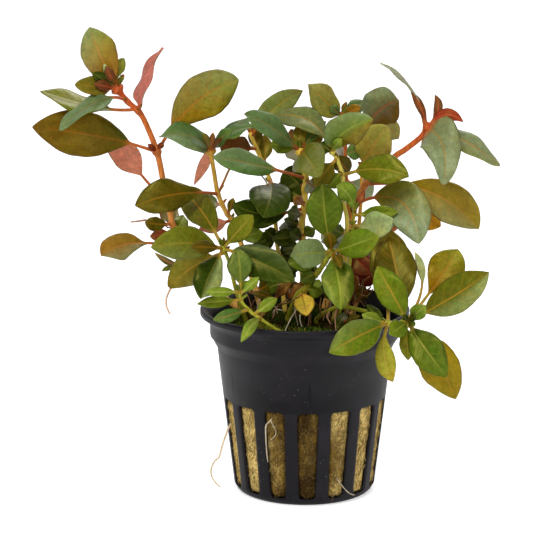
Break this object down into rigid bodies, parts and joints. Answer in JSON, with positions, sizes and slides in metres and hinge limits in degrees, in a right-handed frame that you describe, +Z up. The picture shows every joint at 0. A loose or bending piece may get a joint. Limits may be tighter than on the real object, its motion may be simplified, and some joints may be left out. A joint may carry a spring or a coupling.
{
  "type": "potted ludwigia repens",
  "caption": "Bushy aquarium plant with red and green paired leaves on thin red to tan stems, rooted in rock wool in a small slotted black net pot.",
  "frame": {"origin": "centre of the pot's flat base, on the plane that it stands on", "axes": "+Z up along the pot's axis, +X to the right in the picture, -Y towards the camera"},
  "size_m": [0.1232, 0.0747, 0.1258],
  "materials": {
    "pot_black": "satin black moulded plastic",
    "rock_wool": "matted mustard fibres, with moss on top",
    "stem": "smooth juicy stem, red at the top to tan and green",
    "leaf_green": "waxy green leaf with a pale midrib",
    "leaf_grey_green": "waxy leaf with a blue-grey sheen",
    "leaf_olive": "waxy olive leaf with an orange midrib",
    "leaf_brown": "waxy orange-brown leaf",
    "leaf_red": "red or pink leaf underside"
  },
  "bodies": {
    "root": {"leaf_back_high": "leaf_olive", "leaf_centre_down": "leaf_green", "leaf_centre_left": "leaf_grey_green", "leaf_centre_right": "leaf_green", "leaf_centre_up": "leaf_green", "leaf_left_back": "leaf_red", "leaf_left_broad": "leaf_olive", "leaf_left_front": "leaf_grey_green", "leaf_left_high": "leaf_grey_green", "leaf_left_inner": "leaf_olive", "leaf_left_low": "leaf_brown", "leaf_left_tip": "leaf_olive", "leaf_left_upright": "leaf_red", "leaf_low_brown": "leaf_brown", "leaf_low_down": "leaf_brown", "leaf_low_front": "leaf_green", "leaf_low_inner": "leaf_green", "leaf_low_left": "leaf_green", "leaf_low_right": "leaf_green", "leaf_low_tall": "leaf_olive", "leaf_low_upper": "leaf_olive", "leaf_low_yellow": "leaf_green", "leaf_middle_front": "leaf_grey_green", "leaf_middle_high": "leaf_grey_green", "leaf_middle_left": "leaf_grey_green", "leaf_middle_low": "leaf_green", "leaf_pale_right": "leaf_green", "leaf_pale_top": "leaf_green", "leaf_right_broad": "leaf_olive", "leaf_right_edge": "leaf_grey_green", "leaf_right_grey": "leaf_grey_green", "leaf_right_hanging": "leaf_grey_green", "leaf_right_tip": "leaf_grey_green", "leaf_rosette_down": "leaf_green", "leaf_rosette_left": "leaf_green", "leaf_rosette_olive": "leaf_olive", "leaf_rosette_right": "leaf_green", "leaf_rosette_up": "leaf_olive", "leaf_round_low": "leaf_olive", "leaf_round_top": "leaf_olive", "leaf_second_low": "leaf_olive", "leaf_second_tip": "leaf_grey_green", "leaf_third_back": "leaf_grey_green", "leaf_third_dark": "leaf_green", "net_pot": "pot_black", "rock_wool": "rock_wool", "stem_back": "stem", "stem_centre": "stem", "stem_far": "stem", "stem_left": "stem", "stem_low": "stem", "stem_middle": "stem", "stem_pale": "stem", "stem_right": "stem", "stem_rosette": "stem", "stem_round": "stem", "stem_runner": "stem", "stem_second": "stem", "stem_thin": "stem", "stem_third": "stem"}
  },
  "joints": []
}
